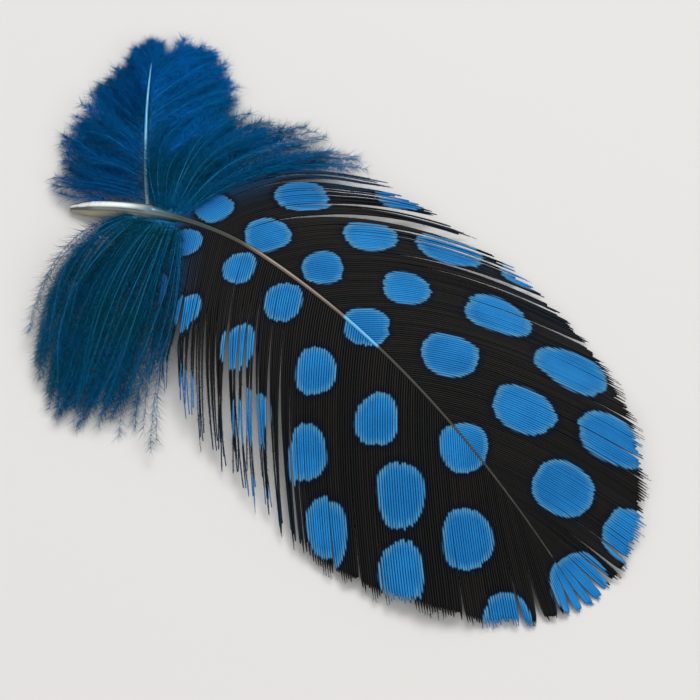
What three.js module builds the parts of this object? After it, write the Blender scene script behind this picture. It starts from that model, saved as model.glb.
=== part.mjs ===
// A dyed guinea fowl body feather, lying with its spotted side up.
// Millimetres, +Z up, +X from the quill towards the tip of the vane. The surface that it lies on is z = 0.
// The feather grew as one branching piece, so it is split at its main forks: the shaft, the two halves of
// the vane, the two rows of down at the base, and the afterfeather with its own shaft and rows of down.
import * as THREE from "three";

const degrees = THREE.MathUtils.degToRad;
const mix = THREE.MathUtils.lerp;

// The line of the shaft, seen from above: a tight arc through the downy base, then a wide one to the tip.
const FEATHER_LENGTH = 76;
const BASE_ARC = { length: 24, from: degrees(48), to: degrees(12) };
const VANE_ARC = { length: FEATHER_LENGTH - BASE_ARC.length, from: degrees(12), to: degrees(-4) };
const QUILL_END = { x: -28.73, y: -10.24 };

// The shaft arches off the surface between the quill's end and the tip of the vane.
const QUILL_END_HEIGHT = 0.52;
const VANE_TIP_HEIGHT = 0.2;
const ARCH_HEIGHT = 6;

// The shaft: a stout round quill, then a rachis that narrows fast where the barbs start and ends as a hair.
const SHAFT_LENGTH = 70;
const QUILL_LENGTH = 9;
const QUILL_POINT_LENGTH = 2.5;
const QUILL_RADIUS = 0.85;
const QUILL_POINT_RADIUS = 0.4;
const RACHIS_RADIUS = { base: 0.34, tip: 0.12, narrowsOver: 4 };

// The vane: barbs leave the shaft close together at first, then wider apart, and reach a broad oval edge.
const VANE_START = 12.5;
const BARB_SPREAD_POWER = 1.25;
const VANE_HALF_WIDTH = { left: 20.5, right: 21 };
const VANE_REAR = { station: 21.5, shareOfWidth: 0.82 };
const VANE_WIDEST = 46;
const SIDE_SHARE = 0.28; // the share of the barbs that end on the side, before the rounded end
const BARB_BOW = degrees(20);
const BARB_BEND_AT = 0.42;
const VANE_EDGE_HEIGHT = 0.2;
const VANE_THICKNESS = { shaft: 0.9, edge: 0.6 };

// The down at the base: soft masses that reach the ends of the down and rest flat on the surface.
const DOWN_END = VANE_START - 0.6;
const DOWN_LEFT = {
  start: 10.4,
  rear: { station: 11.5, left: 15.5 },
  front: { station: 21.5, left: 20 },
  fullness: 1,
};
const DOWN_RIGHT = {
  start: 8,
  rear: { station: -0.5, left: 22.5 },
  front: { station: 23.5, left: 24 },
  fullness: 2.5,
};
const DOWN_ABOVE_SHAFT = 0.8;
const DOWN_SWELL = 2.6;
const DOWN_EDGE_HEIGHT = 1.5;

// The afterfeather: a small downy feather that leaves the end of the quill and lies to its left.
const AFTER_STATION = 9;
const AFTER_ARC = { length: 23, from: degrees(150), to: degrees(138) };
const AFTER_SHAFT_LENGTH = 20;
const AFTER_RADIUS = { base: 0.38, tip: 0.14 };
const AFTER_HEIGHT = { base: 1.4, rise: 0.9, tip: 0.8 };
const AFTER_LEFT = { halfWidth: 10.5, rearTurn: degrees(8), endPower: 1 };
const AFTER_RIGHT = { halfWidth: 9, rearTurn: degrees(35), endPower: 0.6 };
const AFTER_DOWN_START = 2.6;
const AFTER_DOWN_SWELL = 1.8;

// The forks of the feather keep a hair of clearance from each other.
const CLEARANCE = 0.3;
const TIP_CLEARANCE = 0.5;

// The point at a distance along an arc whose heading turns evenly, starting from (0, 0).
function alongArc(arc, distance) {
  const turn = (arc.to - arc.from) / arc.length;
  const heading = arc.from + turn * distance;
  return {
    x: (Math.sin(heading) - Math.sin(arc.from)) / turn,
    y: (Math.cos(arc.from) - Math.cos(heading)) / turn,
    heading,
  };
}

// A place on the feather's plan: a station along the shaft's line and a distance to its left.
function shaftPlan(station, left = 0) {
  const first = alongArc(BASE_ARC, Math.min(station, BASE_ARC.length));
  const rest = station > BASE_ARC.length ? alongArc(VANE_ARC, station - BASE_ARC.length) : null;
  const heading = rest ? rest.heading : first.heading;
  return {
    x: QUILL_END.x + first.x + (rest ? rest.x : 0) - left * Math.sin(heading),
    y: QUILL_END.y + first.y + (rest ? rest.y : 0) + left * Math.cos(heading),
    heading,
  };
}

function shaftHeight(station) {
  const along = station / FEATHER_LENGTH;
  return mix(QUILL_END_HEIGHT, VANE_TIP_HEIGHT, along) + ARCH_HEIGHT * Math.sin(Math.PI * along);
}

function shaftRadius(station) {
  if (station < QUILL_LENGTH) {
    const rounding = Math.sqrt(Math.min(station / QUILL_POINT_LENGTH, 1));
    return mix(QUILL_POINT_RADIUS, QUILL_RADIUS, rounding);
  }
  const along = (station - QUILL_LENGTH) / (SHAFT_LENGTH - QUILL_LENGTH);
  const shoulder = Math.exp((QUILL_LENGTH - station) / RACHIS_RADIUS.narrowsOver);
  return mix(RACHIS_RADIUS.base, RACHIS_RADIUS.tip, along) + (QUILL_RADIUS - RACHIS_RADIUS.base) * shoulder;
}

function afterPlan(station, left = 0) {
  const root = shaftPlan(AFTER_STATION);
  const out = shaftRadius(AFTER_STATION) + CLEARANCE + AFTER_RADIUS.base;
  const place = alongArc(AFTER_ARC, station);
  return {
    x: root.x + out * Math.cos(AFTER_ARC.from) + place.x - left * Math.sin(place.heading),
    y: root.y + out * Math.sin(AFTER_ARC.from) + place.y + left * Math.cos(place.heading),
    heading: place.heading,
  };
}

function afterHeight(station) {
  const along = station / AFTER_ARC.length;
  return mix(AFTER_HEIGHT.base, AFTER_HEIGHT.tip, along) + AFTER_HEIGHT.rise * Math.sin(Math.PI * along);
}

function afterRadius(station) {
  return mix(AFTER_RADIUS.base, AFTER_RADIUS.tip, station / AFTER_SHAFT_LENGTH);
}

// A barb is a curve from the shaft to the outline. It leaves at a wider angle than the line to its end.
function barb(root, end, bow, bendAt = 0.5) {
  const reach = Math.hypot(end.station - root.station, end.left - root.left);
  const angle = Math.atan2(end.left - root.left, end.station - root.station) + bow;
  return new THREE.QuadraticBezierCurve(
    new THREE.Vector2(root.station, root.left),
    new THREE.Vector2(
      root.station + bendAt * reach * Math.cos(angle),
      root.left + bendAt * reach * Math.sin(angle),
    ),
    new THREE.Vector2(end.station, end.left),
  );
}

// Barb number v of a vane half, from 0 next to the down to 1 along the middle of the tip.
function vaneBarb(v, halfWidth) {
  const station = mix(VANE_START, SHAFT_LENGTH, v ** BARB_SPREAD_POWER);
  const root = { station, left: shaftRadius(station) + CLEARANCE };
  let end;
  if (v < SIDE_SHARE) {
    const along = v / SIDE_SHARE;
    const swell = Math.sin((along * Math.PI) / 2);
    end = {
      station: mix(VANE_REAR.station, VANE_WIDEST, along),
      left: halfWidth * mix(VANE_REAR.shareOfWidth, 1, swell),
    };
  } else {
    const turn = (((v - SIDE_SHARE) / (1 - SIDE_SHARE)) * Math.PI) / 2;
    end = {
      station: mix(VANE_WIDEST, FEATHER_LENGTH, Math.sin(turn)),
      left: mix(TIP_CLEARANCE, halfWidth, Math.cos(turn)),
    };
  }
  return barb(root, end, BARB_BOW * (1 - v * v), BARB_BEND_AT);
}

function vaneHeight(station, left, halfWidth) {
  const crown = 1 - (left / halfWidth) ** 2;
  return mix(VANE_EDGE_HEIGHT, shaftHeight(station), Math.max(crown, 0));
}

// Barb number v of a row of down, from 0 nearest the quill to 1 beside the vane's first barb.
function downBarb(v, row) {
  const station = mix(row.start, DOWN_END, v);
  const root = { station, left: shaftRadius(station) + CLEARANCE };
  const end = {
    station: mix(row.rear.station, row.front.station, v),
    left: mix(row.rear.left, row.front.left, v) + row.fullness * Math.sin(Math.PI * v),
  };
  return barb(root, end, degrees(10));
}

// Barb number v of a row of the afterfeather's down.
function afterBarb(v, row) {
  const station = mix(AFTER_DOWN_START, AFTER_SHAFT_LENGTH, v);
  const root = { station, left: afterRadius(station) + CLEARANCE };
  const turn = mix(row.rearTurn, degrees(90), v);
  const end = {
    station: mix(AFTER_DOWN_START - 1, AFTER_ARC.length, Math.sin(turn)),
    left: mix(TIP_CLEARANCE, row.halfWidth, Math.max(Math.cos(turn), 0) ** row.endPower),
  };
  return barb(root, end, degrees(8) * (1 - v));
}

// A unit box, cut into cells, with each point (v, u, level) moved to its place on the feather.
function warpedBox(cellsAlong, cellsOut, place) {
  const geometry = new THREE.BoxGeometry(1, 1, 1, cellsAlong, cellsOut, 1);
  const position = geometry.getAttribute("position");
  for (let i = 0; i < position.count; i++) {
    const point = place(position.getX(i) + 0.5, position.getY(i) + 0.5, position.getZ(i) + 0.5);
    position.setXYZ(i, point.x, point.y, point.z);
  }
  return geometry;
}

// A left-hand shape mirrors to the right across the shaft. The mirror turns it inside out, so v runs back.
function halfOf(side, v) {
  return side > 0 ? v : 1 - v;
}

// The height of a soft mass of down, from its side against a shaft (u = 0) to its outer edge (u = 1).
function softTop(atShaft, swell, u) {
  return mix(atShaft, DOWN_EDGE_HEIGHT, u) + swell * Math.sin(Math.PI * u ** 0.8);
}

function vaneHalf(side, halfWidth) {
  return warpedBox(28, 7, (v, u, level) => {
    const across = vaneBarb(halfOf(side, v), halfWidth).getPoint(u);
    const plan = shaftPlan(across.x, side * across.y);
    const thickness = mix(VANE_THICKNESS.shaft, VANE_THICKNESS.edge, u);
    const z = vaneHeight(across.x, across.y, halfWidth) + (level - 0.5) * thickness;
    return { x: plan.x, y: plan.y, z: Math.max(z, 0) };
  });
}

function downHalf(side, row) {
  return warpedBox(10, 7, (v, u, level) => {
    const across = downBarb(halfOf(side, v), row).getPoint(u);
    const plan = shaftPlan(across.x, side * across.y);
    const top = softTop(shaftHeight(across.x) + DOWN_ABOVE_SHAFT, DOWN_SWELL, u);
    return { x: plan.x, y: plan.y, z: level * top };
  });
}

function afterfeatherHalf(side, row) {
  return warpedBox(10, 5, (v, u, level) => {
    const across = afterBarb(halfOf(side, v), row).getPoint(u);
    const plan = afterPlan(across.x, side * across.y);
    const top = softTop(afterHeight(across.x) + DOWN_ABOVE_SHAFT, AFTER_DOWN_SWELL, u);
    return { x: plan.x, y: plan.y, z: level * top };
  });
}

// A closed round rod along a line on the plan, with its own radius and height at each station.
function rod(length, steps, sides, plan, height, radius) {
  const geometry = new THREE.CylinderGeometry(1, 1, length, sides, steps);
  geometry.translate(0, length / 2, 0);
  const position = geometry.getAttribute("position");
  for (let i = 0; i < position.count; i++) {
    const station = position.getY(i);
    const thick = radius(station);
    const spot = plan(station, -thick * position.getX(i));
    position.setXYZ(i, spot.x, spot.y, height(station) + thick * position.getZ(i));
  }
  return geometry;
}

function finish(color, roughness) {
  return new THREE.MeshStandardMaterial({ color, roughness, metalness: 0 });
}

const horn = finish(0xcdbfa4, 0.3);
const spottedVane = finish(0x17130f, 0.55);
const blueDown = finish(0x0d4f8c, 0.8);

const feather = new THREE.Group();

function add(name, geometry, material) {
  const mesh = new THREE.Mesh(geometry, material);
  mesh.name = name;
  feather.add(mesh);
}

add("quill_shaft", rod(SHAFT_LENGTH, 56, 10, shaftPlan, shaftHeight, shaftRadius), horn);
add("vane_left", vaneHalf(1, VANE_HALF_WIDTH.left), spottedVane);
add("vane_right", vaneHalf(-1, VANE_HALF_WIDTH.right), spottedVane);
add("down_left", downHalf(1, DOWN_LEFT), blueDown);
add("down_right", downHalf(-1, DOWN_RIGHT), blueDown);
add(
  "afterfeather_shaft",
  rod(AFTER_SHAFT_LENGTH, 14, 8, afterPlan, afterHeight, afterRadius),
  horn,
);
add("afterfeather_down_left", afterfeatherHalf(1, AFTER_LEFT), blueDown);
add("afterfeather_down_right", afterfeatherHalf(-1, AFTER_RIGHT), blueDown);

export default feather;
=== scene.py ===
import math

import bmesh
import bpy
import numpy as np
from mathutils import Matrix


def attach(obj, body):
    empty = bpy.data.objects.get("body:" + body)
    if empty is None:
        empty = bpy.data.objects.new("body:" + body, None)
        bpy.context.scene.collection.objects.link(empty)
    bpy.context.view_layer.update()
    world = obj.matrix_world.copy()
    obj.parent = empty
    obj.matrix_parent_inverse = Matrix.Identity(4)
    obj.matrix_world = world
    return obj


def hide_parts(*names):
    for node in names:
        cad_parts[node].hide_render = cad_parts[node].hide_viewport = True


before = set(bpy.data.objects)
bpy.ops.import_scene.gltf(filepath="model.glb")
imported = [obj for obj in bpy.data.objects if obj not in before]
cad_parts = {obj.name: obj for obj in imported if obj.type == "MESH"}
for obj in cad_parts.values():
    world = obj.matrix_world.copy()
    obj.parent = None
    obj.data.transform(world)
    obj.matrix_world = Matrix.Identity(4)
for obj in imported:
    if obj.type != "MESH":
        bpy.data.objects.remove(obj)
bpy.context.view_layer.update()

# The picture: a camera that looks down on the feather as on the pile it came from, a pale table and soft
# studio light. The quill lies towards the upper left and the tip of the vane towards the lower right.
MM = 0.001
scene = bpy.context.scene
scene.view_settings.view_transform = "Standard"
bpy.ops.object.select_all(action="DESELECT")

view_azimuth = math.radians(54)
view_elevation = math.radians(58)
view_distance, view_lens = 0.35, 168
view_centre = (0.0045, 0.0037, 0.001)
toward_feather = (
    -math.sin(view_azimuth) * math.cos(view_elevation),
    math.cos(view_azimuth) * math.cos(view_elevation),
    -math.sin(view_elevation),
)
camera_place = [c - view_distance * d for c, d in zip(view_centre, toward_feather)]
bpy.ops.object.camera_add(
    location=camera_place, rotation=(math.pi / 2 - view_elevation, 0, view_azimuth)
)
camera = bpy.context.object
camera.data.lens = view_lens
camera.data.clip_start = 0.01
scene.camera = camera

bpy.ops.mesh.primitive_plane_add(size=3)
table = bpy.context.object
table.name = "table"
table_paper = bpy.data.materials.new("table_paper")
table_paper.use_nodes = True
paper_shader = table_paper.node_tree.nodes["Principled BSDF"]
paper_shader.inputs["Base Color"].default_value = (0.62, 0.61, 0.595, 1)
paper_shader.inputs["Roughness"].default_value = 0.9
table.data.materials.append(table_paper)


def softbox(azimuth, elevation, distance, size, watts):
    """A square lamp that faces the feather. Azimuth 0 is on its -Y side, and 90 on its +X side."""
    turn, rise = math.radians(azimuth), math.radians(elevation)
    place = (
        distance * math.sin(turn) * math.cos(rise),
        -distance * math.cos(turn) * math.cos(rise),
        distance * math.sin(rise),
    )
    bpy.ops.object.light_add(type="AREA", location=place, rotation=(math.pi / 2 - rise, 0, turn))
    light = bpy.context.object
    light.data.size = size
    light.data.energy = watts


softbox(azimuth=215, elevation=58, distance=0.9, size=0.5, watts=6.5)
softbox(azimuth=100, elevation=40, distance=1.0, size=0.6, watts=2.6)
softbox(azimuth=10, elevation=50, distance=0.9, size=0.7, watts=2.2)
world = bpy.data.worlds.new("studio")
scene.world = world
world.use_nodes = True
world.node_tree.nodes["Background"].inputs["Color"].default_value = (1, 1, 1, 1)
world.node_tree.nodes["Background"].inputs["Strength"].default_value = 0.32

# The shaft: the bare, glossy quill and the rachis that it runs into, one length of keratin drawn out to a
# hair. It bends to one side through the downy base and arches off the table. The quill's end is open.
feather_length = 76.0
base_arc = (24.0, math.radians(48), math.radians(12))
vane_arc = (feather_length - base_arc[0], math.radians(12), math.radians(-4))
quill_end = (-28.73, -10.24)
quill_end_height, vane_tip_height, arch_height = 0.52, 0.2, 6.0
shaft_length, quill_length, quill_point_length = 70.0, 9.0, 2.5
quill_radius, quill_point_radius, quill_point_rounding = 0.93, 0.4, 0.8
rachis_base_radius, rachis_tip_radius, rachis_narrows_over = 0.28, 0.08, 2.2


def mix(first, second, share):
    return first + (second - first) * share


def along_arc(arc, distance):
    """The point and the heading at a distance along an arc whose heading turns evenly, from (0, 0)."""
    length, start, end = arc
    turn = (end - start) / length
    heading = start + turn * distance
    return (
        (np.sin(heading) - math.sin(start)) / turn,
        (math.cos(start) - np.cos(heading)) / turn,
        heading,
    )


def shaft_plan(station, left=0.0):
    """Where a station along the shaft and a distance to its left are on the table, and the heading."""
    station = np.asarray(station, float)
    x, y, base_heading = along_arc(base_arc, np.minimum(station, base_arc[0]))
    on_x, on_y, vane_heading = along_arc(vane_arc, np.maximum(station - base_arc[0], 0))
    heading = np.where(station > base_arc[0], vane_heading, base_heading)
    return (
        quill_end[0] + x + on_x - left * np.sin(heading),
        quill_end[1] + y + on_y + left * np.cos(heading),
        heading,
    )


def shaft_height(station):
    along = np.asarray(station, float) / feather_length
    return mix(quill_end_height, vane_tip_height, along) + arch_height * np.sin(np.pi * along)


def shaft_radius(station):
    station = np.asarray(station, float)
    rounding = np.clip(station / quill_point_length, 0, 1) ** quill_point_rounding
    quill = mix(quill_point_radius, quill_radius, rounding)
    along = np.clip((station - quill_length) / (shaft_length - quill_length), 0, 1)
    shoulder = np.exp((quill_length - station) / rachis_narrows_over)
    rachis = mix(rachis_base_radius, rachis_tip_radius, along)
    rachis = rachis + (quill_radius - rachis_base_radius) * shoulder
    return np.where(station < quill_length, quill, rachis)


def select_faces_along(mesh, direction):
    """Selects only the faces that look along a unit direction, with the mesh in edit mode."""
    for face in mesh.faces:
        facing = sum(a * b for a, b in zip(face.normal, direction))
        face.select_set(facing > 0.9)


def draw_out(name, sides, stations, plan, height, radius):
    """A round rod drawn out station by station from a short cylinder, as one closed mesh."""
    stub = 0.04 * MM
    places = []
    for station in stations:
        x, y, heading = plan(station)
        places.append((float(x), float(y), float(height(station)), float(heading)))
    x, y, z, heading = places[0]
    bpy.ops.mesh.primitive_cylinder_add(
        vertices=sides,
        radius=float(radius(stations[0])) * MM,
        depth=stub,
        location=(x * MM, y * MM, z * MM),
        rotation=(0, math.pi / 2, heading),
    )
    rod = bpy.context.object
    rod.name = name
    bpy.ops.object.transform_apply(location=True, rotation=True, scale=True)
    bpy.ops.object.mode_set(mode="EDIT")
    bpy.ops.mesh.select_mode(type="FACE")
    mesh = bmesh.from_edit_mesh(rod.data)
    select_faces_along(mesh, [math.cos(heading), math.sin(heading), 0])
    bmesh.update_edit_mesh(rod.data)
    for i in range(1, len(places)):
        last, here = places[i - 1], places[i]
        step = [(b - a) * MM for a, b in zip(last[:3], here[:3])]
        centre = [c * MM for c in here[:3]]
        grow = float(radius(stations[i]) / radius(stations[i - 1]))
        bpy.ops.mesh.extrude_region_move(TRANSFORM_OT_translate={"value": step})
        bpy.ops.transform.resize(value=(grow, grow, grow), center_override=centre)
        bpy.ops.transform.rotate(
            value=last[3] - here[3], orient_axis="Z", center_override=centre
        )
    bpy.ops.object.mode_set(mode="OBJECT")
    bpy.ops.object.shade_smooth_by_angle(angle=math.radians(50))
    return rod


def open_quill(rod, wall, depth):
    """Sinks a narrowing hole into the end of the quill, where it grew from the skin."""
    x, y, heading = shaft_plan(0.0)
    inward = [math.cos(heading), math.sin(heading), 0]
    bpy.ops.object.mode_set(mode="EDIT")
    mesh = bmesh.from_edit_mesh(rod.data)
    select_faces_along(mesh, [-c for c in inward])
    bmesh.update_edit_mesh(rod.data)
    bpy.ops.mesh.inset(thickness=wall * MM)
    bpy.ops.mesh.extrude_region_move(
        TRANSFORM_OT_translate={"value": [c * depth * MM for c in inward]}
    )
    floor = [float(x + inward[0] * depth) * MM, float(y + inward[1] * depth) * MM, quill_end_height * MM]
    bpy.ops.transform.resize(value=(0.5,) * 3, center_override=floor)
    bpy.ops.object.mode_set(mode="OBJECT")


def point_values(piece, name, values):
    """Stores one value for each point of a piece, which its material reads by name."""
    layer = piece.data.attributes.new(name, "FLOAT", "POINT")
    layer.data.foreach_set("value", np.ascontiguousarray(values, np.float32).ravel())


def nearest_stations(piece, length, plan):
    """The station along a shaft's line that each point of a piece is nearest to, and the point's height."""
    places = np.empty(len(piece.data.vertices) * 3)
    piece.data.vertices.foreach_get("co", places)
    places = places.reshape(-1, 3) / MM
    samples = 700
    line = np.linspace(0, length, samples)
    x, y, _ = plan(line)
    distance = (places[:, :1] - x[None]) ** 2 + (places[:, 1:2] - y[None]) ** 2
    return line[np.argmin(distance, axis=1)], places[:, 2]


def value_from(nodes, attribute):
    node = nodes.new("ShaderNodeAttribute")
    node.attribute_name = attribute
    return node.outputs["Fac"]


def blend(nodes, links, factor, first, second):
    """A colour mix: each of its three inputs is a socket or a plain value."""
    node = nodes.new("ShaderNodeMix")
    node.data_type = "RGBA"
    for socket, value in ((0, factor), (6, first), (7, second)):
        if isinstance(value, bpy.types.NodeSocket):
            links.new(value, node.inputs[socket])
        else:
            node.inputs[socket].default_value = value
    return node.outputs[2]


def remap(nodes, links, value, low, high, out_low=0.0, out_high=1.0):
    """A smooth step from out_low to out_high, as the value goes from low to high."""
    node = nodes.new("ShaderNodeMapRange")
    node.interpolation_type = "SMOOTHSTEP"
    span = (("From Min", low), ("From Max", high), ("To Min", out_low), ("To Max", out_high))
    for name, number in span:
        node.inputs[name].default_value = number
    links.new(value, node.inputs["Value"])
    return node.outputs["Result"]


def product(nodes, links, first, second):
    node = nodes.new("ShaderNodeMath")
    node.operation = "MULTIPLY"
    links.new(first, node.inputs[0])
    links.new(second, node.inputs[1])
    return node.outputs["Value"]


def ramp(nodes, links, value, stops):
    """Colours along a value, as (place, colour) stops."""
    node = nodes.new("ShaderNodeValToRGB")
    elements = node.color_ramp.elements
    elements[0].position, elements[0].color = stops[0][0], (*stops[0][1], 1)
    elements[1].position, elements[1].color = stops[-1][0], (*stops[-1][1], 1)
    for position, colour in stops[1:-1]:
        elements.new(position).color = (*colour, 1)
    links.new(value, node.inputs["Fac"])
    return node.outputs["Color"]


# The dye never takes evenly. The group gives a soft patchy mask, from 0 where little dye took to 1.
uneven_dye = bpy.data.node_groups.new("uneven_dye", "ShaderNodeTree")
uneven_dye.interface.new_socket(name="Place", in_out="INPUT", socket_type="NodeSocketVector")
uneven_dye.interface.new_socket(name="Patches per metre", in_out="INPUT", socket_type="NodeSocketFloat")
uneven_dye.interface.new_socket(name="Mask", in_out="OUTPUT", socket_type="NodeSocketFloat")
inner, wires = uneven_dye.nodes, uneven_dye.links
entry, result = inner.new("NodeGroupInput"), inner.new("NodeGroupOutput")
patches = inner.new("ShaderNodeTexNoise")
patches.inputs["Detail"].default_value = 3
wires.new(entry.outputs["Place"], patches.inputs["Vector"])
wires.new(entry.outputs["Patches per metre"], patches.inputs["Scale"])
wires.new(remap(inner, wires, patches.outputs["Fac"], 0.32, 0.68), result.inputs["Mask"])


def dye_mask(nodes, links, per_metre):
    """The mask of uneven dye on the material that the nodes belong to."""
    place = nodes.new("ShaderNodeTexCoord")
    group = nodes.new("ShaderNodeGroup")
    group.node_tree = uneven_dye
    links.new(place.outputs["Object"], group.inputs["Place"])
    group.inputs["Patches per metre"].default_value = per_metre
    return group.outputs["Mask"]


shaft_stations = np.concatenate(
    [
        quill_point_length * np.linspace(0, 1, 10) ** 2,
        np.linspace(quill_point_length, quill_length, 12)[1:],
        np.linspace(quill_length, shaft_length, 110)[1:],
    ]
)
shaft = draw_out("shaft_horn", 20, shaft_stations, shaft_plan, shaft_height, shaft_radius)
open_quill(shaft, wall=0.13, depth=1.4)
shaft_places, shaft_tops = nearest_stations(shaft, shaft_length, shaft_plan)
point_values(shaft, "station", shaft_places / feather_length)
# upward: how high on its round section each point of the shaft is; the material paints shade and a highlight
# from it.
point_values(shaft, "upward", (shaft_tops - shaft_height(shaft_places)) / shaft_radius(shaft_places))

horn = bpy.data.materials.new("horn_shaft")
horn.use_nodes = True
nodes, links = horn.node_tree.nodes, horn.node_tree.links
horn_shader = nodes["Principled BSDF"]
horn_shader.inputs["Specular IOR Level"].default_value = 0.4
gloss = remap(nodes, links, value_from(nodes, "station"), 0.08, 0.2, 1.0, 0.0)
links.new(gloss, horn_shader.inputs["Coat Weight"])
roughness = remap(nodes, links, value_from(nodes, "station"), 0.1, 0.25, 0.22, 0.7)
links.new(roughness, horn_shader.inputs["Roughness"])
horn_colour = ramp(
    nodes,
    links,
    value_from(nodes, "station"),
    (
        (0.0, (0.34, 0.26, 0.15)),
        (0.04, (0.40, 0.35, 0.24)),
        (0.10, (0.26, 0.29, 0.27)),
        (0.13, (0.05, 0.12, 0.17)),
        (0.17, (0.030, 0.038, 0.030)),
        (0.27, (0.055, 0.045, 0.033)),
        (0.33, (0.40, 0.27, 0.215)),
        (0.45, (0.30, 0.19, 0.155)),
        (0.54, (0.05, 0.03, 0.024)),
        (0.95, (0.010, 0.007, 0.006)),
    ),
)
stained = blend(nodes, links, dye_mask(nodes, links, 420), (0.75, 0.92, 1.0, 1), (1.0, 0.97, 0.9, 1))
tint = nodes.new("ShaderNodeMix")
tint.data_type = "RGBA"
tint.blend_type = "MULTIPLY"
tint.inputs[0].default_value = 1.0
links.new(horn_colour, tint.inputs[6])
links.new(stained, tint.inputs[7])
along_shaft, upward = value_from(nodes, "station"), value_from(nodes, "upward")
# Painted shade: a dark band just below the top of the shaft, where a glossy rod lies in shade.
painted_shade_band = product(
    nodes,
    links,
    remap(nodes, links, upward, 0.5, 0.72),
    remap(nodes, links, upward, 0.84, 0.95, 1.0, 0.0),
)
painted_shade_share = remap(nodes, links, painted_shade_band, 0.0, 1.0, 0.0, 0.9)
horn_with_painted_shade = blend(nodes, links, painted_shade_share, tint.outputs[2], (0.055, 0.075, 0.07, 1))
quill_only = remap(nodes, links, along_shaft, 0.08, 0.12, 1.0, 0.0)
# Painted highlight: the top of the quill is painted near white, where a glossy rod catches the light.
crown = product(nodes, links, remap(nodes, links, upward, 0.90, 0.98), quill_only)
horn_with_painted_highlight = blend(nodes, links, crown, horn_with_painted_shade, (0.84, 0.91, 0.95, 1))
marked = remap(nodes, links, value_from(nodes, "mark_depth"), -0.25, 0.25)
first_marks_only = remap(nodes, links, along_shaft, 0.55, 0.68, 1.0, 0.0)
crossing = product(nodes, links, marked, first_marks_only)
links.new(blend(nodes, links, crossing, horn_with_painted_highlight, (0.13, 0.42, 0.66, 1)), horn_shader.inputs["Base Color"])
shaft.data.materials.append(horn)
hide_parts("quill_shaft")
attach(shaft, "root")

# The two halves of the vane: rows of stiff barbs that leave the shaft side by side and hook together into
# one web, dark brown-black with rows of round marks that took the blue dye. Where hooks have let go, the web
# is split, and the ends of the barbs fray into single hairs.
vane_start, barb_spread_power = 12.5, 1.25
vane_half_width = {1: 20.5, -1: 21.0}
vane_rear_station, vane_rear_share = 21.5, 0.82
vane_widest, side_share = 46.0, 0.28
barb_bow, barb_bend_at = math.radians(20), 0.42
vane_edge_height = 0.2
barb_count, barb_steps = 180, 60
downy_share, web_overlap, barbule_radius = 0.07, 0.57, 0.012
mark_columns, marks_across = 8, 4
first_column, column_pitch, column_growth = 2.8, 7.3, 0.15
mark_pitch, pitch_growth, pitch_half_width = 6.6, 0.2, 20
mark_size, mark_growth, mark_squareness = 1.85, 0.018, 2.3
outside_marks, blue_shaft_from = -4.0, 30


def barb_points(root_station, root_left, end_station, end_left, bow, bend_at, u):
    """Points along curves that leave the shaft at a wider angle than the line to their ends."""
    reach = np.hypot(end_station - root_station, end_left - root_left)
    angle = np.arctan2(end_left - root_left, end_station - root_station) + bow
    bend_station = root_station + bend_at * reach * np.cos(angle)
    bend_left = root_left + bend_at * reach * np.sin(angle)
    a, b, c = (1 - u) ** 2, 2 * u * (1 - u), u**2
    return (
        a * root_station + b * bend_station + c * end_station,
        a * root_left + b * bend_left + c * end_left,
    )


def vane_barb(side, v, u):
    """Barb v of a vane half, from 0 next to the down to 1 along the middle of the tip, at u of its length."""
    half_width = vane_half_width[side]
    v = np.clip(v, 0, 1)
    root_station = mix(vane_start, shaft_length, v**barb_spread_power)
    root_left = 0.6 * shaft_radius(root_station)
    along = np.clip(v / side_share, 0, 1)
    turn = np.clip((v - side_share) / (1 - side_share), 0, 1) * np.pi / 2
    side_left = half_width * mix(vane_rear_share, 1, np.sin(along * np.pi / 2))
    round_left = half_width * np.cos(turn)
    on_side = v < side_share
    end_station = np.where(
        on_side,
        mix(vane_rear_station, vane_widest, along),
        mix(vane_widest, feather_length, np.sin(turn)),
    )
    end_left = np.where(on_side, side_left, round_left)
    bow = barb_bow * (1 - v * v)
    return barb_points(root_station, root_left, end_station, end_left, bow, barb_bend_at, u)


def vane_height(side, station, left):
    crown = np.maximum(1 - (left / vane_half_width[side]) ** 2, 0)
    return mix(vane_edge_height, shaft_height(station), crown)


def blue_marks(side, rng):
    """The marks of one half, in columns across it, as (station, left, half length, half width)."""
    marks = []
    broad = 1.12 if side > 0 else 1.0
    beside_shaft, beside_down, between_marks, swept_back = 0.7, 2.7, 0.72, 0.007
    for column in range(mark_columns):
        middle = vane_start + first_column + column_pitch * column + column_growth * column**2
        pitch = (mark_pitch + pitch_growth * column) * vane_half_width[side] / pitch_half_width
        on_shaft = column > 2 and column % 2 == 1
        if on_shaft:
            first = beside_shaft if (column % 4 == 3) == (side > 0) else -beside_shaft
        else:
            first = beside_down if column < 3 else between_marks * pitch
        for left in first + pitch * np.arange(marks_across):
            astray = 0.0 if abs(left) < 1 else 1.0
            out = left + astray * rng.uniform(-0.5, 0.5)
            station = middle - swept_back * out**2 + astray * rng.uniform(-0.8, 0.8)
            size = mark_size + mark_growth * (station - vane_start) + rng.uniform(-0.15, 0.15)
            stretch = rng.uniform(0.97, 1.12)
            half_length = size * stretch * (1 + 0.02 * out)
            half_width = size * broad * (1 - 0.01 * out)
            marks.append((station, out, half_length, half_width))
    return marks


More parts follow.
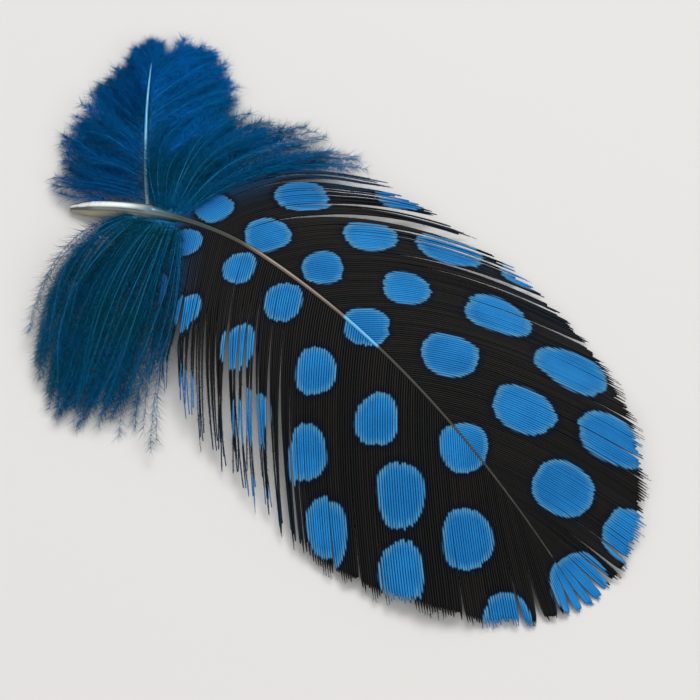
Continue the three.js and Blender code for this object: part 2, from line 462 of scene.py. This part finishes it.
def depth_in_marks(station, left, marks, barb_grid, rng):
    """How far inside the nearest mark's edge each point is, in mm, and below zero outside the marks."""
    grid_station, grid_left, grid_angle = barb_grid
    depth = np.full(np.shape(station), outside_marks)
    for at, out, half_length, half_width in marks:
        nearest = np.argmin((grid_station - at) ** 2 + (grid_left - out) ** 2)
        slant = grid_angle.ravel()[nearest]
        ds, dl = station - at, left - out
        along = (ds * math.cos(slant) + dl * math.sin(slant)) / half_length
        across = (-ds * math.sin(slant) + dl * math.cos(slant)) / half_width
        phase, wobble = rng.uniform(0, 6.3), rng.uniform(0.02, 0.06)
        uneven = 1 + wobble * np.sin(3 * np.arctan2(across, along) + phase)
        ring = (np.abs(along) ** mark_squareness + np.abs(across) ** mark_squareness) ** (1 / mark_squareness)
        depth = np.maximum(depth, (1 - ring * uneven) * half_width)
    return depth


def sheaves(loose, rng):
    """Barbs hold together in sheaves, small and pointed ones where the web has come loose.

    Gives each barb its sheaf's shift, how far it closes up, how soon, and how far its marks slip.
    """
    count = len(loose)
    shift, close, onset, slip = np.zeros((4, count))
    start = 0
    while start < count:
        if loose[start] > 0.3:
            size, tight, soon = int(rng.integers(2, 9)), rng.uniform(0.3, 0.95), rng.uniform(1.4, 2.6)
            apart = 1.3
        else:
            at_tip = start > 0.82 * count
            size, soon = int(rng.integers(5, 9 if at_tip else 19)), rng.uniform(3, 7)
            tight = 0.5 if at_tip else rng.choice([0.01, 0.05, 0.12, 0.3], p=[0.35, 0.3, 0.2, 0.15])
            apart = 0.3
        end = min(start + size, count)
        close[start:end] = ((start + end - 1) / 2 - np.arange(start, end)) * tight / count
        shift[start:end] = rng.normal(0, apart) / count
        onset[start:end] = soon
        slip[start:end] = rng.normal(0, 0.012)
        start = end
    return shift, close, onset, slip


def closed_strands(rings):
    """Faces of many closed strands whose vertices are in rings, as (strand, ring, point around the ring)."""
    strands, steps, around = rings
    index = np.arange(strands * steps * around).reshape(rings)
    here, ahead = index[:, :-1], index[:, 1:]
    walls = np.stack(
        [here, np.roll(here, -1, axis=2), np.roll(ahead, -1, axis=2), ahead], axis=-1
    )
    caps = np.concatenate([index[:, 0, ::-1], index[:, -1]])
    return walls.reshape(-1, 4).tolist() + caps.tolist()


def mesh_piece(name, points, faces):
    """A new object from points in millimetres."""
    mesh = bpy.data.meshes.new(name)
    mesh.from_pydata((points * MM).tolist(), [], faces)
    mesh.shade_smooth()
    piece = bpy.data.objects.new(name, mesh)
    scene.collection.objects.link(piece)
    return piece


def unit(vectors):
    return vectors / np.maximum(np.linalg.norm(vectors, axis=-1, keepdims=True), 1e-9)


spokes = np.radians([0, 120, 240])


def barbules(where, aim, long, radius, first):
    """Closed three-sided spikes, as (points of each spike, faces), numbered on from the vertex first."""
    beside = unit(np.cross(aim, [0.3, 0.2, 1.0]))
    third = np.cross(aim, beside)
    ring = [where + radius * (math.cos(a) * beside + math.sin(a) * third) for a in spokes]
    tip = where + aim * long[:, None]
    tip[:, 2] = np.maximum(tip[:, 2], 0.04)
    spikes = np.stack([*ring, tip], axis=1)
    pattern = np.array([[0, 1, 3], [1, 2, 3], [2, 0, 3], [2, 1, 0]])
    faces = (first + 4 * np.arange(len(where))[:, None, None] + pattern[None]).reshape(-1, 3)
    return spikes, faces.tolist()


def looseness(v, fray):
    """How far the web has come apart at each barb: next to the down, and on a stretch after it."""
    stretch = fray * np.exp(-(((v - 0.2) / 0.17) ** 4))
    next_to_down = 0.8 * np.exp(-((v / downy_share) ** 2))
    return np.minimum(stretch + next_to_down, 1)


def off_the_floor(z, clearance, sharpness):
    """Heights kept above a clearance, with a soft bend in place of a corner."""
    return clearance + np.logaddexp(0, (z - clearance) * sharpness) / sharpness


def barb_heights(side, v, reach, station, left, stray, rng):
    """The arch of the vane, in low waves from barb to barb, with the stray ends lifted."""
    z = vane_height(side, station, left)
    z += 0.22 * np.sin(v * 23 + side) * reach + 0.16 * np.sin(v * 57 + 2 * side) * reach**2
    z += 0.035 * rng.normal(0, 1, v.shape) * reach
    z += 0.8 * np.abs(stray) * reach**3
    return off_the_floor(z, 0.1, 12)


def frames_along(path):
    """At each point of the strands, the directions ahead, across and up."""
    ahead = unit(np.gradient(path, axis=1))
    across = unit(np.cross([0, 0, 1.0], ahead))
    return ahead, across, np.cross(ahead, across)


def web_spacing(home):
    """How far apart the barbs lie in the flat web, and the direction that each runs in."""
    gap = np.gradient(home, axis=0)
    run = unit(np.gradient(home, axis=1))
    return np.abs(gap[..., 0] * run[..., 1] - gap[..., 1] * run[..., 0]), run


def blade_section(half, side):
    """A barb of the web in section: a flat blade, tilted a little, with a ridge above and below."""
    ridge = np.minimum(0.08, half * 0.6)
    tilt = 0.2 * side
    return np.stack(
        [
            np.stack([half, half * tilt], axis=-1),
            np.stack([0 * half, ridge], axis=-1),
            np.stack([-half, -half * tilt], axis=-1),
            np.stack([0 * half, -0.7 * ridge], axis=-1),
        ],
        axis=2,
    )


def strand_points(path, across, upright, section):
    """The points around each strand, from its section at each step of its path."""
    return (
        path[:, :, None, :]
        + across[:, :, None, :] * section[..., 0:1]
        + upright[:, :, None, :] * section[..., 1:2]
    )


def web_barbules(path, frames, openness, count, rng):
    """Short barbules for the open places in the web, as (barb, step, place, aim, length) of each."""
    ahead, across, upright = frames
    picked = rng.choice(openness.size, count, p=(openness / openness.sum()).ravel())
    owner, step = picked // barb_steps, np.minimum(picked % barb_steps, barb_steps - 2)
    part = rng.random((count, 1))
    where = mix(path[owner, step], path[owner, step + 1], part)
    splay = np.radians(rng.normal(24, 8, count))[:, None]
    row = rng.choice([-1.0, 1.0], (count, 1))
    aim = ahead[owner, step] * np.cos(splay) + across[owner, step] * row * np.sin(splay)
    aim = unit(aim + upright[owner, step] * rng.normal(0, 0.15, (count, 1)))
    long = rng.uniform(0.3, 0.7, count) * (1 - 0.6 * (step / barb_steps) ** 10)
    return owner, step, where, aim, long


def vane_half(name, node, side, seed, fray):
    """One half of the vane as one mesh, and how deep in its marks each place on the shaft is."""
    rng = np.random.default_rng(seed)
    vane_barbules = int(5000 + 11000 * fray)
    v = ((np.arange(barb_count) + 0.5) / barb_count)[:, None]
    u = np.linspace(0, 1, barb_steps)[None, :]
    loose = looseness(v, fray)
    shift, close, onset, slip = (values[:, None] for values in sheaves(loose[:, 0], rng))
    stray = rng.normal(0, 1, v.shape) * loose
    length = 1 - 0.04 * rng.random(v.shape) ** 2 - 0.2 * loose * rng.random(v.shape)
    length += 0.012 * np.sin(v * 61 + seed)
    reach = u * length
    bent_v = v + (shift + close) * reach**onset + 0.013 * stray * reach**2.5
    station, left = vane_barb(side, bent_v, reach)
    home_station, home_left = vane_barb(side, v, reach)
    x, y, _ = shaft_plan(station, side * left)
    path = np.stack([x, y, barb_heights(side, v, reach, station, left, stray, rng)], axis=-1)
    frames = frames_along(path)
    spacing, run = web_spacing(np.stack(np.broadcast_arrays(home_station, home_left), axis=-1))
    bare_end = np.clip((reach - 0.95) / 0.05, 0, 1)
    unhooked = 1 - 0.7 * loose * np.clip((reach - 0.4) / 0.4, 0, 1)
    half = np.maximum(web_overlap * spacing * (1 - bare_end) * unhooked, 0.03 - 0.018 * u**8)
    points = strand_points(path, frames[1], frames[2], blade_section(half, side))
    openness = np.clip(1 - half / (web_overlap * spacing), 0.01, 1) * (reach > 0.3) * (1 - 0.75 * u**12)
    owner, step, where, aim, long = web_barbules(path, frames, openness, vane_barbules, rng)
    strand_faces = closed_strands(points.shape[:3])
    spikes, spike_faces = barbules(where, aim, long, barbule_radius, points.size // 3)
    piece = mesh_piece(
        name, np.concatenate([points.reshape(-1, 3), spikes.reshape(-1, 3)]), strand_faces + spike_faces
    )

    def both_values(attribute, values, on_barbules=None):
        """Sets a value on the barbs, and on each barbule the same as where it grows, or its own."""
        around = np.broadcast_to(values, points.shape[:3])
        at_root = around[owner, step, 0] if on_barbules is None else on_barbules
        spread = np.repeat(at_root * np.ones(vane_barbules), 4)
        point_values(piece, attribute, np.concatenate([around.ravel(), spread]))

    marks = blue_marks(side, rng)
    barb_grid = (home_station, home_left, np.arctan2(run[..., 1], run[..., 0]))
    slipped = reach + slip * reach**2 + rng.normal(0, 0.0025, v.shape)
    depth = depth_in_marks(*vane_barb(side, v, slipped), marks, barb_grid, rng)
    both_values("mark_depth", depth[..., None])
    both_values("ridge", np.array([0.0, 1.0, 0.0, 1.0]), on_barbules=0.4)
    both_values("shade", rng.random((barb_count, 1, 1)))
    downy = np.exp(-((v / downy_share) ** 2)) + 0.8 * loose * np.clip((reach - 0.72) / 0.28, 0, 1)
    both_values("downy", downy[..., None])
    piece.data.materials.append(spotted_vane)
    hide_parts(node)
    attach(piece, "root")
    at_shaft = depth_in_marks(shaft_places, 0.35, marks, barb_grid, rng)
    return piece, at_shaft


spotted_vane = bpy.data.materials.new("spotted_vane")
spotted_vane.use_nodes = True
nodes, links = spotted_vane.node_tree.nodes, spotted_vane.node_tree.links
vane_shader = nodes["Principled BSDF"]
depth = value_from(nodes, "mark_depth")
shade = value_from(nodes, "shade")
ridge = remap(nodes, links, value_from(nodes, "ridge"), 0, 0.6)
furrow = blend(nodes, links, shade, (0.0020, 0.0021, 0.0022, 1), (0.0042, 0.0038, 0.0036, 1))
crest = blend(nodes, links, shade, (0.0038, 0.0045, 0.0050, 1), (0.0105, 0.0092, 0.0082, 1))
ground = blend(nodes, links, ridge, furrow, crest)
downy = value_from(nodes, "downy")
downy_ground = blend(nodes, links, downy, ground, (0.004, 0.05, 0.13, 1))
near_mark = remap(nodes, links, depth, -0.8, -0.1)
ringed = blend(nodes, links, near_mark, downy_ground, (0.0025, 0.0035, 0.010, 1))
centre_blue = blend(
    nodes, links, dye_mask(nodes, links, 160), (0.008, 0.155, 0.42, 1), (0.014, 0.215, 0.54, 1)
)
rim_blue = blend(nodes, links, shade, (0.035, 0.20, 0.42, 1), (0.075, 0.27, 0.47, 1))
azure = blend(nodes, links, remap(nodes, links, depth, 0.1, 0.75), rim_blue, centre_blue)
combed_low = blend(nodes, links, 0.55, azure, (0.004, 0.04, 0.16, 1))
combed = blend(nodes, links, ridge, combed_low, azure)
dulled = blend(nodes, links, remap(nodes, links, downy, 0, 0.8, 0, 0.7), combed, (0.008, 0.075, 0.30, 1))
inside = remap(nodes, links, depth, -0.07, 0.13)
links.new(blend(nodes, links, inside, ringed, dulled), vane_shader.inputs["Base Color"])
vane_shader.inputs["Roughness"].default_value = 0.55
vane_shader.inputs["Specular IOR Level"].default_value = 0.1
fine = nodes.new("ShaderNodeTexNoise")
fine.inputs["Scale"].default_value = 5200
fine.inputs["Detail"].default_value = 2
place = nodes.new("ShaderNodeTexCoord")
links.new(place.outputs["Object"], fine.inputs["Vector"])
grain = nodes.new("ShaderNodeBump")
grain.inputs["Strength"].default_value = 0.4
grain.inputs["Distance"].default_value = 0.05 * MM
links.new(fine.outputs["Fac"], grain.inputs["Height"])
links.new(grain.outputs["Normal"], vane_shader.inputs["Normal"])

barbs_left, crossing_left = vane_half("barbs_left", "vane_left", 1, 11, 0.3)
barbs_right, crossing_right = vane_half("barbs_right", "vane_right", -1, 5, 0.8)
crossing_marks = np.maximum(crossing_left, crossing_right)
dyed_crossing = np.where(shaft_places > blue_shaft_from, crossing_marks, outside_marks)
point_values(shaft, "mark_depth", dyed_crossing)

# The down at the base: soft barbs that leave the shaft on both sides, each fringed with long loose barbules
# that never hook together. The dye went into all of it, and it lies in wisps of several barbs.
down_end = vane_start + 0.6
down_above_shaft, down_swell, down_edge_height = 0.8, 2.6, 1.5
down_triangles, down_steps = 182000, 26
down_barbule_length, down_barbule_radius = 2.1, 0.018


def soft_top(at_shaft, swell, u):
    return mix(at_shaft, down_edge_height, u) + swell * np.sin(np.pi * np.clip(u, 0, 1) ** 0.8)


def down_line(side, start, rear, front, fullness):
    """A function for a row of down: where barb v is at u of its length, and how deep the mass is there."""

    def line(v, u, forward=0.0):
        root = mix(start, down_end, v)
        end_station = mix(rear[0], front[0], v) + forward
        end_left = mix(rear[1], front[1], v) + fullness * np.sin(np.pi * np.clip(v, 0, 1))
        bow = np.radians(10 + 24 * (1 - np.clip(v, 0, 1)) ** 2)
        station, left = barb_points(root, 0.5 * shaft_radius(root), end_station, end_left, bow, 0.5, u)
        x, y, _ = shaft_plan(station, side * left)
        return x, y, soft_top(shaft_height(station) + down_above_shaft, down_swell, u)

    return line


def wispy_barbs(line, barbs, gather, sweep, rng):
    """Barbs that draw together in wisps, as (wisp of each, number of wisps, lengths, paths)."""
    u = np.linspace(0, 1, down_steps)[None, :]
    wisp = np.cumsum(rng.random(barbs) < 0.2)
    wisps = wisp.max() + 1
    v = (np.arange(barbs) + rng.uniform(0, 1, barbs)) / barbs
    middle = np.bincount(wisp, v, wisps) / np.maximum(np.bincount(wisp, minlength=wisps), 1)
    pull = gather * rng.uniform(0.1, 1, wisps)[wisp]
    drift = gather * rng.normal(0, 0.05, wisps)[wisp] + rng.normal(0, 0.03, barbs)
    end_v = v + (middle[wisp] - v) * pull + drift
    bent_v = mix(v[:, None], end_v[:, None], u**1.5)
    length = (1 - gather * rng.uniform(0, 0.22, wisps)[wisp]) * rng.uniform(0.84, 1.03, barbs)
    reach = u * length[:, None]
    forward = sweep * (v**3 * rng.uniform(0, 1, wisps)[wisp])[:, None]
    x, y, top = line(bent_v, reach, forward)
    level = mix(rng.uniform(0.1, 0.95, barbs), rng.uniform(0.1, 0.95, wisps)[wisp], 0.5)
    rise = np.clip(u / 0.4, 0, 1)
    z = top * mix(0.74, level[:, None], rise * rise * (3 - 2 * rise))
    z += 0.5 * rng.normal(0, 1, (barbs, 1)) * u**3
    path = np.stack([x, y, off_the_floor(z, 0.25, 6)], axis=-1)
    across = frames_along(path)[1]
    waves = np.sin(u * rng.uniform(3, 8, (barbs, 1)) + rng.uniform(0, 6.3, (barbs, 1)))
    path = path + across * (rng.normal(0, 0.5, (barbs, 1)) * waves * u)[..., None]
    return wisp, wisps, length, path


def loose_barbules(path, frames, length, count, rng):
    """Barbules on both sides of the barbs, as (barb, how far along it, place, aim, length) of each."""
    barbs = len(length)
    owner = rng.choice(barbs, count, p=length / length.sum())
    at = (0.02 + 0.98 * rng.random(count) ** 0.85) * (down_steps - 1.001)
    low = at.astype(int)
    part = (at - low)[:, None]

    def between(values):
        return mix(values[owner, low], values[owner, low + 1], part)

    where = between(path)
    ahead, out, up = (unit(between(way)) for way in frames)
    roll = rng.uniform(-0.6, 0.6, barbs)[owner] + rng.normal(0, 0.5, count)
    row = rng.choice([-1.0, 1.0], count)
    opening = np.radians(rng.normal(42, 16, count))
    outward = row[:, None] * (out * np.cos(roll)[:, None] + up * np.sin(roll)[:, None])
    aim = ahead * np.cos(opening)[:, None] + outward * np.sin(opening)[:, None]
    taken = at / (down_steps - 1)
    fullest = down_barbule_length * mix(0.7, 1.0, np.sin(np.pi * taken))
    return owner, taken, where, aim, fullest * rng.uniform(0.35, 1.1, count)


def downy_row(name, node, line, barbs, gather, sweep, shades, teal, seed):
    """One row of down: thin barbs that lie in wisps, and a spray of barbules on both sides of each."""
    rng = np.random.default_rng(seed)
    u = np.linspace(0, 1, down_steps)[None, :]
    wisp, wisps, length, path = wispy_barbs(line, barbs, gather, sweep, rng)
    frames = frames_along(path)
    thick = mix(0.05, 0.016, u) * np.ones((barbs, 1))
    around = np.stack([np.cos(spokes), np.sin(spokes)], axis=-1)
    strands = strand_points(path, frames[1], frames[2], thick[:, :, None, None] * around)
    strand_faces = closed_strands(strands.shape[:3])
    count = (down_triangles - 2 * len(strand_faces)) // 4
    owner, taken, where, aim, long = loose_barbules(path, frames, length, count, rng)
    spikes, spike_faces = barbules(where, aim, long, down_barbule_radius, strands.size // 3)
    piece = mesh_piece(
        name,
        np.concatenate([strands.reshape(-1, 3), spikes.reshape(-1, 3)]),
        strand_faces + spike_faces,
    )
    barb_shade = mix(*shades, mix(rng.random(barbs), rng.random(wisps)[wisp], 0.6))
    spike_shade = 0.75 * barb_shade[owner] + 0.25 * rng.random(count)
    strand_tip = np.broadcast_to(u[..., None] * 0.6, strands.shape[:3])
    spike_tip = taken[:, None] * 0.6 + np.array([0, 0, 0, 0.4])[None]
    on_strands, on_spikes = strands.size // 3, spikes.size // 3
    all_shades = [np.repeat(barb_shade, down_steps * len(spokes)), np.repeat(spike_shade, 4)]
    point_values(piece, "shade", np.concatenate(all_shades))
    point_values(piece, "tip", np.concatenate([strand_tip.ravel(), spike_tip.ravel()]))
    point_values(piece, "ramus", np.concatenate([np.ones(on_strands), np.zeros(on_spikes)]))
    point_values(piece, "teal", np.full(on_strands + on_spikes, teal))
    piece.data.materials.append(blue_down)
    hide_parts(node)
    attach(piece, "root")
    return piece


blue_down = bpy.data.materials.new("blue_down")
blue_down.use_nodes = True
nodes, links = blue_down.node_tree.nodes, blue_down.node_tree.links
down_shader = nodes["Principled BSDF"]
shade = value_from(nodes, "shade")
greener = nodes.new("ShaderNodeMath")
greener.operation = "MULTIPLY_ADD"
links.new(dye_mask(nodes, links, 110), greener.inputs[0])
greener.inputs[1].default_value = 0.45
links.new(value_from(nodes, "teal"), greener.inputs[2])
dark_fibre = blend(nodes, links, greener.outputs["Value"], (0.001, 0.085, 0.34, 1), (0.001, 0.062, 0.085, 1))
light_fibre = blend(nodes, links, greener.outputs["Value"], (0.003, 0.30, 0.92, 1), (0.004, 0.17, 0.25, 1))
fibre = blend(nodes, links, shade, dark_fibre, light_fibre)
tip_share = remap(nodes, links, value_from(nodes, "tip"), 0.3, 1.0, 0.0, 0.4)
tipped = blend(nodes, links, tip_share, fibre, (0.004, 0.22, 0.46, 1))
stem = blend(nodes, links, shade, (0.002, 0.12, 0.34, 1), (0.05, 0.42, 0.74, 1))
downy_blue = blend(nodes, links, value_from(nodes, "ramus"), tipped, stem)
links.new(downy_blue, down_shader.inputs["Base Color"])
down_shader.inputs["Roughness"].default_value = 0.7
down_shader.inputs["Specular IOR Level"].default_value = 0.03
through = nodes.new("ShaderNodeBsdfTranslucent")
links.new(downy_blue, through.inputs["Color"])
both = nodes.new("ShaderNodeMixShader")
both.inputs["Fac"].default_value = 0.35
links.new(down_shader.outputs["BSDF"], both.inputs[1])
links.new(through.outputs["BSDF"], both.inputs[2])
links.new(both.outputs["Shader"], nodes["Material Output"].inputs["Surface"])

tufts_left = downy_row(
    "tufts_left", "down_left", down_line(1, 10.0, rear=(8.0, 16.0), front=(21.5, 19.5), fullness=1.0),
    barbs=110, gather=0.75, sweep=6, shades=(0.1, 1.0), teal=0.3, seed=21,
)
tufts_right = downy_row(
    "tufts_right", "down_right", down_line(-1, 7.4, rear=(-2.5, 23.0), front=(25.0, 24.5), fullness=3.0),
    barbs=130, gather=0.5, sweep=9, shades=(0.0, 0.62), teal=0.62, seed=22,
)

# The afterfeather: a small second shaft that leaves the end of the quill on the left, as thin as a hair, and
# downy all along.
after_station = 9.0
after_arc = (23.0, math.radians(150), math.radians(138))
after_shaft_length = 20.0
after_base_radius, after_tip_radius = 0.3, 0.08
after_base_height, after_tip_height, after_rise = 1.4, 0.8, 0.9
after_setback, after_lift, after_overhang = 0.5, 1.3, 1.2
after_down_start, after_down_swell = 1.4, 1.8


def after_plan(station, left=0.0):
    root_x, root_y, _ = shaft_plan(after_station)
    x, y, heading = along_arc(after_arc, np.asarray(station, float))
    return (
        root_x + after_setback * math.cos(after_arc[1]) + x - left * np.sin(heading),
        root_y + after_setback * math.sin(after_arc[1]) + y + left * np.cos(heading),
        heading,
    )


def after_height(station):
    along = np.asarray(station, float) / after_arc[0]
    return mix(after_base_height, after_tip_height, along) + after_rise * np.sin(np.pi * along)


def after_shaft_height(station):
    return after_height(station) + after_lift * np.asarray(station, float) / after_shaft_length


def after_radius(station):
    along = np.clip(np.asarray(station, float) / after_shaft_length, 0, 1)
    return mix(after_base_radius, after_tip_radius, along)


def after_line(side, half_width, rear_turn, end_power):
    """A function for a row of the afterfeather's down, as for the rows of down on the main shaft."""

    def line(v, u, forward=0.0):
        root = mix(after_down_start, after_shaft_length, v)
        turn = mix(rear_turn, math.radians(90), np.clip(v, 0, 1))
        end_station = mix(after_down_start - 1, after_arc[0] + after_overhang, np.sin(turn)) + forward
        end_left = half_width * np.maximum(np.cos(turn), 0) ** end_power
        station, left = barb_points(
            root, 0.5 * after_radius(root), end_station, end_left, math.radians(8) * (1 - v), 0.5, u
        )
        x, y, _ = after_plan(station, side * left)
        return x, y, soft_top(after_height(station) + down_above_shaft, after_down_swell, u)

    return line


after_stations = np.linspace(0, after_shaft_length, 40)
aftershaft = draw_out("aftershaft_horn", 12, after_stations, after_plan, after_shaft_height, after_radius)
after_places, _ = nearest_stations(aftershaft, after_shaft_length, after_plan)
point_values(aftershaft, "station", after_places / after_shaft_length)

dyed_horn = bpy.data.materials.new("dyed_horn")
dyed_horn.use_nodes = True
nodes, links = dyed_horn.node_tree.nodes, dyed_horn.node_tree.links
dyed_shader = nodes["Principled BSDF"]
along_after = value_from(nodes, "station")
root_horn = blend(nodes, links, dye_mask(nodes, links, 420), (0.20, 0.42, 0.55, 1), (0.42, 0.55, 0.58, 1))
tip_horn = blend(nodes, links, dye_mask(nodes, links, 200), (0.05, 0.30, 0.55, 1), (0.12, 0.42, 0.64, 1))
dyed = blend(nodes, links, remap(nodes, links, along_after, 0.0, 0.5), root_horn, tip_horn)
links.new(dyed, dyed_shader.inputs["Base Color"])
dyed_shader.inputs["Roughness"].default_value = 0.3
dyed_shader.inputs["Coat Weight"].default_value = 0.4
aftershaft.data.materials.append(dyed_horn)
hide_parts("afterfeather_shaft")
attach(aftershaft, "root")

# The right row's shade range sits higher than the left's: painted light, the right side made brighter as if
# lit from the upper right. Within each row the shade still varies at random from wisp to wisp.
after_tufts_left = downy_row(
    "after_tufts_left", "afterfeather_down_left", after_line(1, 11.0, math.radians(10), end_power=1.6),
    barbs=110, gather=0.4, sweep=0, shades=(0.0, 0.8), teal=0.0, seed=31,
)
after_tufts_right = downy_row(
    "after_tufts_right", "afterfeather_down_right", after_line(-1, 10.3, math.radians(18), end_power=0.28),
    barbs=110, gather=0.4, sweep=0, shades=(0.4, 1.1), teal=0.0, seed=32,
)
